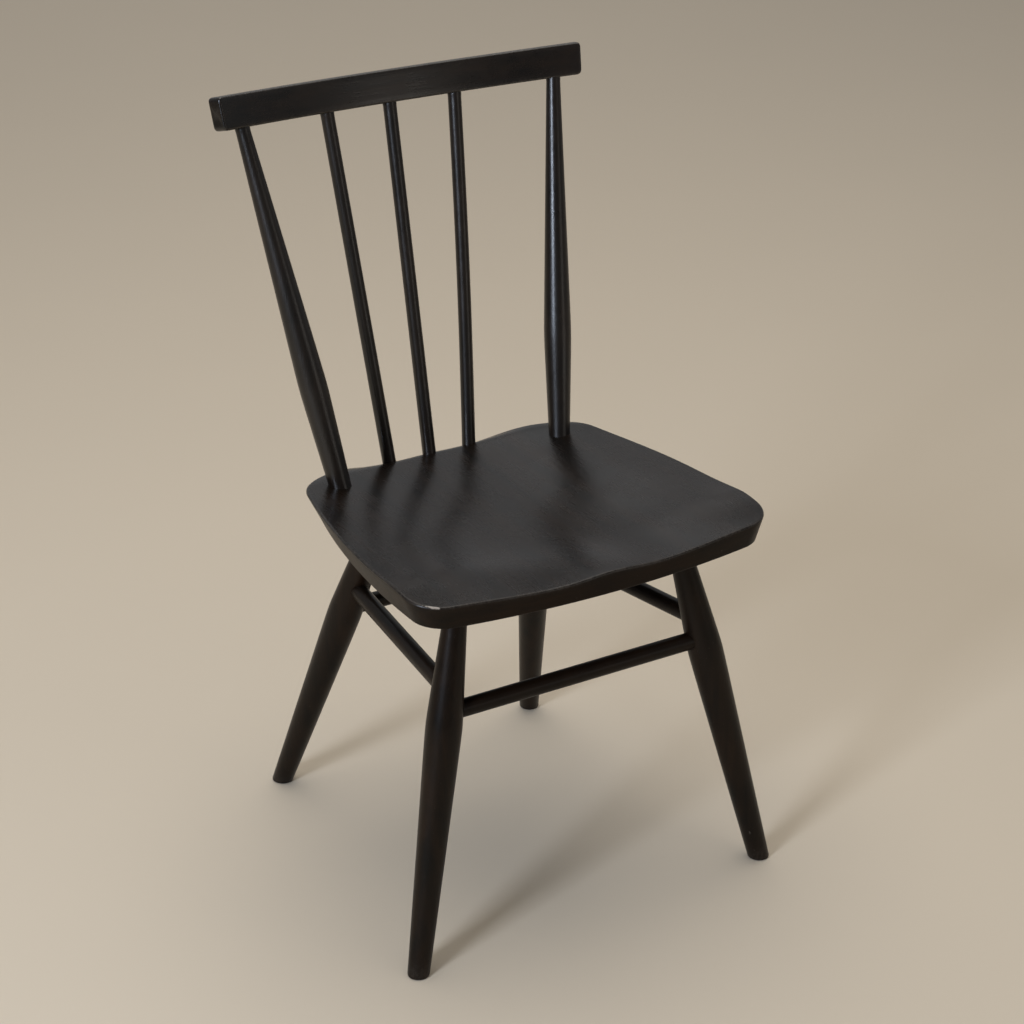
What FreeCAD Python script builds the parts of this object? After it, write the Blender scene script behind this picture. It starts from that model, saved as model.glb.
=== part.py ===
import FreeCAD, Part
import math
import os
import Sketcher
from FreeCAD import Placement, Rotation, Vector

# Dining chair with a carved plank seat, turned legs and posts, and a bowed crest rail.
# Millimetres. +Z is up, the front of the chair faces -Y, X = 0 is the middle, and the
# feet stand on Z = 0. Every joint is a round tenon in a blind round socket.

doc = FreeCAD.newDocument("DiningChair")
sheet = doc.addObject("Spreadsheet::Sheet", "Sizes")

sizes = {
    # legs: each axis is given on the floor and at legAxisHeight
    "legAxisHeight": 400, "frontFootX": 229.6, "frontFootY": -225.24, "frontTopX": 143.8,
    "frontTopY": -165.04, "rearFootX": 179.8, "rearFootY": 218.56, "rearTopX": 106,
    "rearTopY": 78.76,
    # turned leg: lengths run up the axis from the floor
    "legFootDiameter": 24.0, "legTrim": 12, "legSwellDiameter": 40.2, "legSwellHeight": 286,
    "legSwellArc": 300, "legNeckDiameter": 26, "legNeckLength": 9, "frontTenonDepth": 20,
    "rearTenonDepth": 17,
    # stretchers: heights are on the leg axes
    "stretcherDiameter": 20.2, "stretcherChamfer": 1, "stretcherStop": 2.5,
    "sideFrontHeight": 314.8, "sideRearHeight": 301.9, "frontStretcherHeight": 290.1,
    "rearStretcherHeight": 270, "socketGap": 0.15,
    # seat blank: outlines of the underside, of the lip and of the top before carving
    "seatUnderside": 404, "lipHeight": 422, "blankTop": 460,
    "underFront": 207.54, "underRear": 142.46, "underFrontArc": 1000, "underRearArc": 360,
    "underSideArc": 900, "underFrontCorner": 34, "underRearCorner": 38,
    "underFrontCornerX": 146, "underRearCornerX": 104,
    "lipFront": 251.04, "lipRear": 169.46, "lipFrontArc": 1075, "lipRearArc": 320,
    "lipSideArc": 975, "lipFrontCorner": 38, "lipRearCorner": 42,
    "lipFrontCornerX": 177, "lipRearCornerX": 136,
    "blankFront": 248.74, "blankRear": 172.46, "blankFrontArc": 1700, "blankRearArc": 320,
    "blankSideArc": 1400, "blankFrontCorner": 40, "blankRearCorner": 42,
    "blankFrontCornerX": 186.5, "blankRearCornerX": 156,
    # carved top: floor of the hollow, rises at the rim and the roll down at the rear edge
    "hollowFloor": 432.5, "rearFloor": 431.7, "middleWing": 18.5, "rearWing": 14.6,
    "frontWing": 6, "frontRise": 10.2, "ridgeRise": 4.5, "ridgeWidth": 44,
    "rearRoll": 12, "rearRollWidth": 24, "rearRollEdge": 166, "rearRollArc": 400,
    # uprights: each axis is given at uprightHeight, with its offset per unit of height
    "uprightHeight": 430, "postBaseX": 144.8, "postBaseY": 92.16, "postSplay": 0.1312,
    "postRake": 0.2616, "sideStickX": 53.7, "sideStickY": 151.76, "sideStickSplay": 0.0697,
    "sideStickRake": 0.1876, "midStickY": 152.06, "midStickRake": 0.1998,
    "postFootDiameter": 25.2, "postFootDepth": 10, "postFootLength": 22,
    "postSwellDiameter": 32.3, "postSwellHeight": 133, "postSwellArc": 350,
    "postTopDiameter": 16.2, "postTenonDiameter": 11, "stickDiameter": 16.2,
    "stickTopDiameter": 15.6, "stickTenonDiameter": 9, "stickFootDepth": 12,
    "topTenonLength": 22, "shoulderOverrun": 2,
    # crest rail, in a frame that leans back with the posts
    "railHalfLength": 231.8, "railHeight": 37.2, "railThickness": 18.4, "railBow": 44.4,
    "railFlare": 2.6, "railLean": 14.62, "railFrontY": 181.46, "railBottomZ": 849.9,
    "railCorner": 5, "railEdge": 2.6,
}


def addCell(alias, value):
    """Put one size in the next row of the sheet."""
    row = len(cells) + 1
    sheet.set(f"A{row}", alias)
    sheet.set(f"B{row}", f"{value:.6g}")
    sheet.setAlias(f"B{row}", alias)
    cells[alias] = value


cells = {}
for sizeName, sizeValue in sizes.items():
    addCell(sizeName, sizeValue)


def legAxis(end, side):
    """Floor point and upward unit direction of a leg; side is -1 or 1."""
    height = cells["legAxisHeight"]
    foot = Vector(side * cells[end + "FootX"], cells[end + "FootY"], 0)
    top = Vector(side * cells[end + "TopX"], cells[end + "TopY"], height)
    return foot, (top - foot).normalize()


def onLeg(end, side, height):
    """Point of a leg's axis at a height above the floor."""
    foot, direction = legAxis(end, side)
    return foot + direction * (height / direction.z)


def uprightAxis(baseX, baseY, splay, rake):
    """Point at uprightHeight and unit direction of a post or stick."""
    return Vector(baseX, baseY, cells["uprightHeight"]), Vector(splay, rake, 1).normalize()


postAxes = {
    side: uprightAxis(side * cells["postBaseX"], cells["postBaseY"],
                      side * cells["postSplay"], cells["postRake"])
    for side in (-1, 1)
}
stickAxes = {
    side: uprightAxis(side * cells["sideStickX"], cells["sideStickY"],
                      side * cells["sideStickSplay"], cells["sideStickRake"])
    for side in (-1, 1)
}
stickAxes[0] = uprightAxis(0, cells["midStickY"], 0, cells["midStickRake"])

lean = math.radians(cells["railLean"])
railUp = Vector(0, math.sin(lean), math.cos(lean))
railOrigin = Vector(0, cells["railFrontY"], cells["railBottomZ"])


def lengthToRail(axis):
    """Length along an upright's axis to the underside of the crest rail."""
    point, direction = axis
    return (railOrigin - point).dot(railUp) / direction.dot(railUp)


def alongStretcher(start, end):
    """A stretcher stops just short of both leg axes."""
    direction = (end - start).normalize()
    stop = cells["stretcherStop"]
    return start + direction * stop, direction, (end - start).Length - 2 * stop


stretcherRuns = {
    "side_stretcher_left": alongStretcher(onLeg("front", -1, cells["sideFrontHeight"]),
                                          onLeg("rear", -1, cells["sideRearHeight"])),
    "side_stretcher_right": alongStretcher(onLeg("front", 1, cells["sideFrontHeight"]),
                                           onLeg("rear", 1, cells["sideRearHeight"])),
    "front_stretcher": alongStretcher(onLeg("front", -1, cells["frontStretcherHeight"]),
                                      onLeg("front", 1, cells["frontStretcherHeight"])),
    "rear_stretcher": alongStretcher(onLeg("rear", -1, cells["rearStretcherHeight"]),
                                     onLeg("rear", 1, cells["rearStretcherHeight"])),
}

# lengths that follow from the driving sizes, kept in the sheet beside them
for end in ("front", "rear"):
    toSeat = cells["seatUnderside"] / legAxis(end, 1)[1].z
    addCell(end + "LegNeck", toSeat - cells["legNeckLength"])
    addCell(end + "LegEnd", toSeat + cells[end + "TenonDepth"])
for name, axis in (("post", postAxes[1]), ("sideStick", stickAxes[1]), ("midStick", stickAxes[0])):
    addCell(name + "Shoulder", lengthToRail(axis) + cells["shoulderOverrun"])
    addCell(name + "End", lengthToRail(axis) + cells["topTenonLength"])
addCell("sideStretcherLength", stretcherRuns["side_stretcher_left"][2])
addCell("frontStretcherLength", stretcherRuns["front_stretcher"][2])
addCell("rearStretcherLength", stretcherRuns["rear_stretcher"][2])
doc.recompute()


def originPlane(body, role):
    return next(plane for plane in body.Origin.OriginFeatures if plane.Role == role)


def newSketch(body, name, role):
    sketch = body.newObject("Sketcher::SketchObject", name)
    sketch.AttachmentSupport = (originPlane(body, role), [""])
    sketch.MapMode = "FlatFace"
    return sketch


def drive(sketch, name, expression, *arguments):
    """Add a named dimension to a sketch and tie it to the sheet."""
    index = sketch.addConstraint(Sketcher.Constraint(*arguments))
    sketch.renameConstraint(index, name)
    sketch.setExpression(f"Constraints.{name}", expression)


def alongAxis(point, direction):
    """Placement that lays a piece's own Z along a direction."""
    return Placement(point, Rotation(Vector(0, 0, 1), direction))


# ---- turned pieces -----------------------------------------------------------------

def tangentPoint(fromPoint, centre, radius, side):
    """Where the tangent from a point meets a circle; side picks one of the two."""
    gap = fromPoint - centre
    turn = side * math.acos(radius / gap.Length)
    return centre + Rotation(Vector(0, 0, 1), math.degrees(turn)).multVec(gap.normalize() * radius)


def turnedBody(name, stations, swell=None):
    """A piece turned about its own Z. Each station is (diameter cell, height cell, sign);
    swell = (station before it, diameter cell, height cell, arc cell) rounds the widest place."""
    body = doc.addObject("PartDesign::Body", name)
    sketch = newSketch(body, name + "Profile", "XZ_Plane")
    corners = [Vector(cells[wide] / 2, sign * cells[high], 0) for wide, high, sign in stations]
    outline = [Vector(0, corners[0].y, 0)] + corners + [Vector(0, corners[-1].y, 0)]
    pieces = []
    for i in range(len(outline) - 1):
        if swell and i == swell[0] + 1:
            radius = cells[swell[3]]
            centre = Vector(cells[swell[1]] / 2 - radius, cells[swell[2]], 0)
            low = tangentPoint(outline[i], centre, radius, 1)
            high = tangentPoint(outline[i + 1], centre, radius, -1)
            crest = centre + Vector(radius, 0, 0)
            pieces.append(Part.LineSegment(outline[i], low))
            swellArc = len(pieces)
            pieces.append(Part.Arc(low, crest, high))
            pieces.append(Part.LineSegment(high, outline[i + 1]))
        else:
            pieces.append(Part.LineSegment(outline[i], outline[i + 1]))
    pieces.append(Part.LineSegment(outline[-1], outline[0]))
    sketch.addGeometry(pieces, False)
    count = len(pieces)
    for i in range(count):
        after = (i + 1) % count
        smooth = swell and i in (swellArc - 1, swellArc)
        sketch.addConstraint(Sketcher.Constraint("Tangent" if smooth else "Coincident", i, 2, after, 1))
    sketch.addConstraint(Sketcher.Constraint("PointOnObject", 0, 1, -2))
    sketch.addConstraint(Sketcher.Constraint("PointOnObject", count - 1, 1, -2))
    sketch.addConstraint(Sketcher.Constraint("Horizontal", 0))
    sketch.addConstraint(Sketcher.Constraint("Horizontal", count - 2))
    if swell:
        drive(sketch, "swellArc", f"Sizes.{swell[3]}", "Radius", swellArc, cells[swell[3]])
        drive(sketch, "swellWidth", f"Sizes.{swell[3]} - Sizes.{swell[1]} / 2",
              "DistanceX", swellArc, 3, -1, 1, cells[swell[3]] - cells[swell[1]] / 2)
        drive(sketch, "swellHeight", f"Sizes.{swell[2]}",
              "DistanceY", -1, 1, swellArc, 3, cells[swell[2]])
    index = 0
    for i, (wide, high, sign) in enumerate(stations):
        drive(sketch, f"radius{i}", f"Sizes.{wide} / 2", "DistanceX", -1, 1, index, 2, cells[wide] / 2)
        if sign > 0:
            drive(sketch, f"height{i}", f"Sizes.{high}", "DistanceY", -1, 1, index, 2, cells[high])
        else:
            drive(sketch, f"height{i}", f"Sizes.{high}", "DistanceY", index, 2, -1, 1, cells[high])
        index += 3 if swell and i == swell[0] else 1
    turn = body.newObject("PartDesign::Revolution", name + "Turning")
    turn.Profile = sketch
    turn.ReferenceAxis = (sketch, ["V_Axis"])
    turn.Angle = 360
    return body


def socket(name, expression, depth, point, direction):
    """A drilled socket, a little wider than the tenon it takes."""
    drill = doc.addObject("Part::Cylinder", name)
    drill.setExpression("Radius", expression)
    drill.Height = depth
    drill.Placement = alongAxis(point, direction)
    return drill


def cutAway(label, base, tools):
    """The finished piece: base less every tool."""
    if len(tools) > 1:
        tool = doc.addObject("Part::MultiFuse", label + "Sockets")
        tool.Shapes = tools
    else:
        tool = tools[0]
    piece = doc.addObject("Part::Cut", label)
    piece.Base = base
    piece.Tool = tool
    return piece


# ---- seat --------------------------------------------------------------------------

def outlineSketch(body, name, prefix, heightCell):
    """Seat outline as eight tangent arcs: front, corner, side, corner, rear and back round."""
    front, rear = cells[prefix + "Front"], cells[prefix + "Rear"]
    radii = {part: cells[prefix + part]
             for part in ("FrontArc", "RearArc", "SideArc", "FrontCorner", "RearCorner")}
    frontX, rearX = cells[prefix + "FrontCornerX"], cells[prefix + "RearCornerX"]
    frontCentre = Vector(0, radii["FrontArc"] - front, 0)
    rearCentre = Vector(0, rear - radii["RearArc"], 0)
    frontReach = radii["FrontArc"] - radii["FrontCorner"]
    rearReach = radii["RearArc"] - radii["RearCorner"]
    frontCorner = Vector(frontX, frontCentre.y - math.sqrt(frontReach ** 2 - frontX ** 2), 0)
    rearCorner = Vector(rearX, rearCentre.y + math.sqrt(rearReach ** 2 - rearX ** 2), 0)
    # the side arc's centre is at known distances from both corner centres
    toFront = radii["SideArc"] - radii["FrontCorner"]
    toRear = radii["SideArc"] - radii["RearCorner"]
    gap = rearCorner - frontCorner
    along = (toFront ** 2 - toRear ** 2 + gap.Length ** 2) / (2 * gap.Length)
    out = math.sqrt(toFront ** 2 - along ** 2)
    unit = Vector(gap).normalize()
    sideCentre = frontCorner + unit * along + Vector(-unit.y, unit.x, 0) * out

    def touch(centre, bigCentre, radius):
        return centre + (centre - bigCentre).normalize() * radius

    a = touch(frontCorner, frontCentre, radii["FrontCorner"])
    b = touch(frontCorner, sideCentre, radii["FrontCorner"])
    c = touch(rearCorner, sideCentre, radii["RearCorner"])
    d = touch(rearCorner, rearCentre, radii["RearCorner"])

    def flip(point):
        return Vector(-point.x, point.y, 0)

    def arc(centre, radius, start, end):
        middle = ((start + end) * 0.5 - centre).normalize() * radius + centre
        return Part.Arc(start, middle, end)

    sketch = newSketch(body, name, "XY_Plane")
    sketch.setExpression("AttachmentOffset.Base.z", f"Sizes.{heightCell}")
    sketch.addGeometry([
        arc(frontCentre, radii["FrontArc"], flip(a), a),
        arc(frontCorner, radii["FrontCorner"], a, b),
        arc(sideCentre, radii["SideArc"], b, c),
        arc(rearCorner, radii["RearCorner"], c, d),
        arc(rearCentre, radii["RearArc"], d, flip(d)),
        arc(flip(rearCorner), radii["RearCorner"], flip(d), flip(c)),
        arc(flip(sideCentre), radii["SideArc"], flip(c), flip(b)),
        arc(flip(frontCorner), radii["FrontCorner"], flip(b), flip(a)),
    ], False)
    for i in range(8):
        sketch.addConstraint(Sketcher.Constraint("Tangent", i, 2, (i + 1) % 8, 1))
    for i in (0, 4):
        sketch.addConstraint(Sketcher.Constraint("PointOnObject", i, 3, -2))
    for left, right in ((7, 1), (6, 2), (5, 3)):
        sketch.addConstraint(Sketcher.Constraint("Equal", left, right))
    for i, part in ((0, "FrontArc"), (1, "FrontCorner"), (2, "SideArc"), (3, "RearCorner"), (4, "RearArc")):
        drive(sketch, part[0].lower() + part[1:], f"Sizes.{prefix}{part}", "Radius", i, radii[part])
    for i, part, centreX in ((1, "FrontCornerX", frontX), (3, "RearCornerX", rearX)):
        drive(sketch, f"right{part}", f"Sizes.{prefix}{part}", "DistanceX", -1, 1, i, 3, centreX)
        drive(sketch, f"left{part}", f"Sizes.{prefix}{part}", "DistanceX", 8 - i, 3, -1, 1, centreX)
    drive(sketch, "frontY", f"Sizes.{prefix}FrontArc - Sizes.{prefix}Front",
          "DistanceY", -1, 1, 0, 3, frontCentre.y)
    drive(sketch, "rearY", f"Sizes.{prefix}RearArc - Sizes.{prefix}Rear",
          "DistanceY", 4, 3, -1, 1, -rearCentre.y)
    return sketch


def smooth(t):
    """0 below 0, 1 above 1, an even S between."""
    t = min(max(t, 0), 1)
    return t * t * (3 - 2 * t)


def seatTop(x, y):
    """Height of the carved top: hollow, side wings, front rise, centre ridge, rear roll."""
    floor = cells["hollowFloor"]
    floor += (cells["rearFloor"] - floor) * smooth((y + 57.5) / 190)
    wing = cells["middleWing"]
    wing += (cells["rearWing"] - cells["middleWing"]) * smooth((y + 110) / 200)
    wing += (cells["frontWing"] - cells["middleWing"]) * smooth((-y - 160) / 90)
    across = smooth((abs(x) / (205 - 0.1 * y) - 0.12) / 0.8)
    rise = cells["frontRise"] * smooth((-y - 77.5) / 170) ** 1.3
    ridge = cells["ridgeRise"] * math.exp(-((x / cells["ridgeWidth"]) ** 2)) * smooth((-y - 127.5) / 120)
    # the roll is deepest behind the sticks and fades out toward the rear corners
    radius = cells["rearRollArc"]
    fromEdge = radius - math.hypot(x, y - cells["rearRollEdge"] + radius)
    roll = max(1 - fromEdge / cells["rearRollWidth"], 0) if y > 0 else 0
    bend = min(roll, 0.62)
    fade = 1 - 0.7 * smooth((abs(x) - 55) / 85)
    return floor + wing * across + rise + ridge - cells["rearRoll"] * fade * (2 * roll - bend) * bend


def saddleTool():
    """Everything above the carved top, as one solid."""
    rows = [[Vector(x, y, seatTop(x, y)) for y in range(-270, 181, 9)] for x in range(-252, 253, 9)]
    surface = Part.BSplineSurface()
    surface.interpolate(rows)
    tool = doc.addObject("Part::Feature", "SaddleTool")
    tool.Shape = surface.toShape().extrude(Vector(0, 0, 90))
    return tool


def seatBlank():
    body = doc.addObject("PartDesign::Body", "SeatBlank")
    under = outlineSketch(body, "UnderOutline", "under", "seatUnderside")
    lip = outlineSketch(body, "LipOutline", "lip", "lipHeight")
    upper = outlineSketch(body, "UpperOutline", "blank", "blankTop")
    loft = body.newObject("PartDesign::AdditiveLoft", "Blank")
    loft.Profile = under
    loft.Sections = [lip, upper]
    loft.Ruled = True
    return body


def seat():
    tools = [saddleTool()]
    for side, word in ((-1, "Left"), (1, "Right")):
        for end in ("front", "rear"):
            foot, direction = legAxis(end, side)
            depth = cells["legNeckLength"] + cells[end + "TenonDepth"]
            tools.append(socket(f"Seat{end.capitalize()}Leg{word}",
                                "Sizes.legNeckDiameter / 2 + Sizes.socketGap", depth,
                                foot + direction * cells[end + "LegNeck"], direction))
        point, direction = postAxes[side]
        tools.append(socket(f"SeatPost{word}", "Sizes.postFootDiameter / 2 + Sizes.socketGap", 60,
                            point - direction * cells["postFootDepth"], direction))
    for side, word in ((-1, "Left"), (0, "Centre"), (1, "Right")):
        point, direction = stickAxes[side]
        tools.append(socket(f"SeatStick{word}", "Sizes.stickDiameter / 2 + Sizes.socketGap", 60,
                            point - direction * cells["stickFootDepth"], direction))
    return cutAway("seat", seatBlank(), tools)


# ---- crest rail --------------------------------------------------------------------

def crestRail():
    """A bowed band cut to a face outline with rounded corners, then eased at its edges."""
    half, high, thick = cells["railHalfLength"], cells["railHeight"], cells["railThickness"]
    bow, flare, corner = cells["railBow"], cells["railFlare"], cells["railCorner"]
    arcRadius = (half ** 2 + bow ** 2) / (2 * bow)
    addCell("railArc", arcRadius)
    doc.recompute()
    placement = Placement(railOrigin, Rotation(Vector(1, 0, 0), -cells["railLean"]))

    band = doc.addObject("PartDesign::Body", "RailBand")
    plan = newSketch(band, "RailPlan", "XY_Plane")
    centre = Vector(0, bow - arcRadius, 0)
    swing = math.asin(half / arcRadius) * 1.15

    def onArc(radius, angle):
        return centre + Vector(radius * math.sin(angle), radius * math.cos(angle), 0)

    inner, outer = arcRadius, arcRadius + thick
    plan.addGeometry([
        Part.Arc(onArc(inner, swing), onArc(inner, 0), onArc(inner, -swing)),
        Part.LineSegment(onArc(inner, -swing), onArc(outer, -swing)),
        Part.Arc(onArc(outer, -swing), onArc(outer, 0), onArc(outer, swing)),
        Part.LineSegment(onArc(outer, swing), onArc(inner, swing)),
    ], False)
    for first, firstEnd, second, secondEnd in ((0, 2, 1, 1), (1, 2, 2, 2), (2, 1, 3, 1), (3, 2, 0, 1)):
        plan.addConstraint(Sketcher.Constraint("Coincident", first, firstEnd, second, secondEnd))
    plan.addConstraint(Sketcher.Constraint("Coincident", 0, 3, 2, 3))
    plan.addConstraint(Sketcher.Constraint("PointOnObject", 0, 3, -2))
    drive(plan, "frontArc", "Sizes.railArc", "Radius", 0, inner)
    drive(plan, "backArc", "Sizes.railArc + Sizes.railThickness", "Radius", 2, outer)
    drive(plan, "centreY", "Sizes.railArc - Sizes.railBow", "DistanceY", 0, 3, -1, 1, arcRadius - bow)
    pad = band.newObject("PartDesign::Pad", "RailBandPad")
    pad.Profile = plan
    pad.setExpression("Length", "Sizes.railHeight")
    band.Placement = placement

    face = doc.addObject("PartDesign::Body", "RailFace")
    front = newSketch(face, "RailFaceOutline", "XZ_Plane")
    low, top = half - flare / 2, half + flare / 2
    front.addGeometry([
        Part.LineSegment(Vector(-low, 0, 0), Vector(low, 0, 0)),
        Part.LineSegment(Vector(low, 0, 0), Vector(top, high, 0)),
        Part.LineSegment(Vector(top, high, 0), Vector(-top, high, 0)),
        Part.LineSegment(Vector(-top, high, 0), Vector(-low, 0, 0)),
    ], False)
    for i in range(4):
        front.addConstraint(Sketcher.Constraint("Coincident", i, 2, (i + 1) % 4, 1))
    front.addConstraint(Sketcher.Constraint("Horizontal", 0))
    front.addConstraint(Sketcher.Constraint("PointOnObject", 0, 1, -1))
    front.addConstraint(Sketcher.Constraint("Horizontal", 2))
    bottomHalf = "Sizes.railHalfLength - Sizes.railFlare / 2"
    topHalf = "Sizes.railHalfLength + Sizes.railFlare / 2"
    drive(front, "lowRight", bottomHalf, "DistanceX", -1, 1, 0, 2, low)
    drive(front, "lowLeft", bottomHalf, "DistanceX", 0, 1, -1, 1, low)
    drive(front, "topRight", topHalf, "DistanceX", -1, 1, 1, 2, top)
    drive(front, "topLeft", topHalf, "DistanceX", 2, 2, -1, 1, top)
    drive(front, "height", "Sizes.railHeight", "DistanceY", 0, 2, 1, 2, high)
    block = face.newObject("PartDesign::Pad", "RailFacePad")
    block.Profile = front
    block.Midplane = True
    block.Length = 300
    doc.recompute()
    ends = []
    for i, edge in enumerate(block.Shape.Edges, start=1):
        along = edge.Vertexes[-1].Point - edge.Vertexes[0].Point
        if abs(along.x) < 1 and abs(along.z) < 1:
            ends.append(f"Edge{i}")
    rounded = face.newObject("PartDesign::Fillet", "RailCorners")
    rounded.Base = (block, ends)
    rounded.setExpression("Radius", "Sizes.railCorner")
    face.Placement = placement

    plank = doc.addObject("Part::MultiCommon", "RailPlank")
    plank.Shapes = [band, face]
    doc.recompute()
    eased = doc.addObject("Part::Fillet", "RailEased")
    eased.Base = plank
    ease = cells["railEdge"]
    eased.Edges = [(i, ease, ease) for i in faceEdges(plank.Shape, arcRadius, thick)]
    doc.recompute()

    drills = []
    for word, axis, cell in (("PostLeft", postAxes[-1], "post"), ("PostRight", postAxes[1], "post"),
                             ("StickLeft", stickAxes[-1], "sideStick"),
                             ("StickCentre", stickAxes[0], "midStick"),
                             ("StickRight", stickAxes[1], "sideStick")):
        point, direction = axis
        tenon = "postTenonDiameter" if cell == "post" else "stickTenonDiameter"
        drills.append(socket(f"Rail{word}", f"Sizes.{tenon} / 2 + Sizes.socketGap", 30,
                             point + direction * (cells[cell + "End"] - 30), direction))
    return cutAway("crest_rail", eased, drills)


def faceEdges(shape, arcRadius, thick):
    """Numbers of the edges round the front and back faces of the rail."""
    found = []
    for face in shape.Faces:
        surface = face.Surface
        if surface.TypeId == "Part::GeomCylinder" and surface.Radius > 100:
            for edge in face.Edges:
                found += [i for i, other in enumerate(shape.Edges, start=1) if other.isSame(edge)]
    return sorted(set(found))


# ---- legs, posts, sticks and stretchers --------------------------------------------

def leg(end, side, label):
    """A leg runs past the floor, is drilled for its stretchers, and is cut level at Z = 0."""
    foot, direction = legAxis(end, side)
    body = turnedBody(label + "Turned", [
        ("legFootDiameter", "legTrim", -1), ("legNeckDiameter", end + "LegNeck", 1),
        ("legNeckDiameter", end + "LegEnd", 1),
    ], swell=(0, "legSwellDiameter", "legSwellHeight", "legSwellArc"))
    body.Placement = alongAxis(foot, direction)
    floor = doc.addObject("Part::Box", label + "Floor")
    floor.Length, floor.Width, floor.Height = 120, 120, 40
    floor.Placement = Placement(foot - Vector(60, 60, 40), Rotation())
    tools = [floor]
    for name, (start, run, length) in stretcherRuns.items():
        for point, sense in ((start, run), (start + run * length, -run)):
            if point.distanceToPoint(foot + direction * (point.z / direction.z)) < 10:
                tools.append(socket(f"{label}_{name}", "Sizes.stretcherDiameter / 2 + Sizes.socketGap",
                                    40, point, sense))
    return cutAway(label, body, tools)


def upright(label, axis, cell, rail):
    """A post or stick; its shoulder is scribed to the underside of the rail."""
    kind = "post" if cell == "post" else "stick"
    tenon = kind + "TenonDiameter"
    if kind == "post":
        stations = [("postFootDiameter", "postFootDepth", -1), ("postFootDiameter", "postFootLength", 1)]
        swell = (1, "postSwellDiameter", "postSwellHeight", "postSwellArc")
    else:
        stations = [("stickDiameter", "stickFootDepth", -1)]
        swell = None
    stations += [(kind + "TopDiameter", cell + "Shoulder", 1), (tenon, cell + "Shoulder", 1),
                 (tenon, cell + "End", 1)]
    body = turnedBody(label + "Turned", stations, swell)
    body.Placement = alongAxis(*axis)
    return cutAway(label, body, [rail])


def stretcher(label, run, lengthCell):
    point, direction, length = run
    body = doc.addObject("PartDesign::Body", label)
    section = newSketch(body, label + "Section", "XY_Plane")
    section.addGeometry(Part.Circle(Vector(0, 0, 0), Vector(0, 0, 1), cells["stretcherDiameter"] / 2), False)
    section.addConstraint(Sketcher.Constraint("Coincident", 0, 3, -1, 1))
    drive(section, "radius", "Sizes.stretcherDiameter / 2", "Radius", 0, cells["stretcherDiameter"] / 2)
    rod = body.newObject("PartDesign::Pad", label + "Rod")
    rod.Profile = section
    rod.setExpression("Length", f"Sizes.{lengthCell}")
    doc.recompute()
    rims = [f"Edge{i}" for i, edge in enumerate(rod.Shape.Edges, start=1) if edge.isClosed()]
    ends = body.newObject("PartDesign::Chamfer", label + "Ends")
    ends.Base = (rod, rims)
    ends.setExpression("Size", "Sizes.stretcherChamfer")
    body.Placement = alongAxis(point, direction)
    return body


rail = crestRail()
pieces = [seat(), rail]
for side, word in ((-1, "left"), (1, "right")):
    pieces.append(leg("front", side, f"leg_front_{word}"))
    pieces.append(leg("rear", side, f"leg_rear_{word}"))
    pieces.append(upright(f"back_post_{word}", postAxes[side], "post", rail))
for side, word, cell in ((-1, "left", "sideStick"), (0, "centre", "midStick"), (1, "right", "sideStick")):
    pieces.append(upright(f"spindle_{word}", stickAxes[side], cell, rail))
for label, lengthCell in (("side_stretcher_left", "sideStretcherLength"),
                          ("side_stretcher_right", "sideStretcherLength"),
                          ("front_stretcher", "frontStretcherLength"),
                          ("rear_stretcher", "rearStretcherLength")):
    pieces.append(stretcher(label, stretcherRuns[label], lengthCell))
doc.recompute()

for thing in doc.Objects:
    if "Invalid" in thing.State or "Error" in thing.State:
        raise RuntimeError(f"{thing.Name} failed: {thing.State}")
os.makedirs("parts", exist_ok=True)
for piece in pieces:
    shape = piece.Shape
    if shape.isNull() or not shape.isValid() or len(shape.Solids) != 1:
        raise RuntimeError(f"{piece.Label} is not one valid solid")
    print(f"{piece.Label}: {shape.Volume / 1000:.1f} cm3, box {shape.BoundBox}")
    shape.exportStep(f"parts/{piece.Label}.step")
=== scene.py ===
import math
import bpy
import numpy as np
from mathutils import Matrix, Vector


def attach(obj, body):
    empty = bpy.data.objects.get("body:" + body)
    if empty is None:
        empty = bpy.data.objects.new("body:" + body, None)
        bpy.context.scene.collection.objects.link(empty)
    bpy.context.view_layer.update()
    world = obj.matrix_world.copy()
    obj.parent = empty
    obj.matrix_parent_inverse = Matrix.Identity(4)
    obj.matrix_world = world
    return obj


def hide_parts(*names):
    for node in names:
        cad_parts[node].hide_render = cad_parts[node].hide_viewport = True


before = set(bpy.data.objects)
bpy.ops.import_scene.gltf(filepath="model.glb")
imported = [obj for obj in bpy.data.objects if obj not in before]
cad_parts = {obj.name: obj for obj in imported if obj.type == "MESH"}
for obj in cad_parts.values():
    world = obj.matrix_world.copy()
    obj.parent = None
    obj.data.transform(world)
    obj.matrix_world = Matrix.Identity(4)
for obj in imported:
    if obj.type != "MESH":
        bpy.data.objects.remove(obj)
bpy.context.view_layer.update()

mm = 0.001
print("frame loaded:", len(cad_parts), "nodes")


def gridFaces(rows, columns, closed):
    # quads between neighbouring rows; closed joins the last column to the first
    across = np.arange(columns if closed else columns - 1)
    r, c = np.meshgrid(np.arange(rows - 1), across, indexing="ij")
    nextC = (c + 1) % columns
    here, above = r * columns, (r + 1) * columns
    return np.stack([here + c, here + nextC, above + nextC, above + c], -1).reshape(-1, 4)


def capFaces(start, columns, tip, flip):
    # a fan of triangles from one ring to a single point
    c = np.arange(columns)
    ring = np.stack([start + c, start + (c + 1) % columns, np.full(columns, tip)], -1)
    return ring[:, ::-1] if flip else ring


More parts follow.
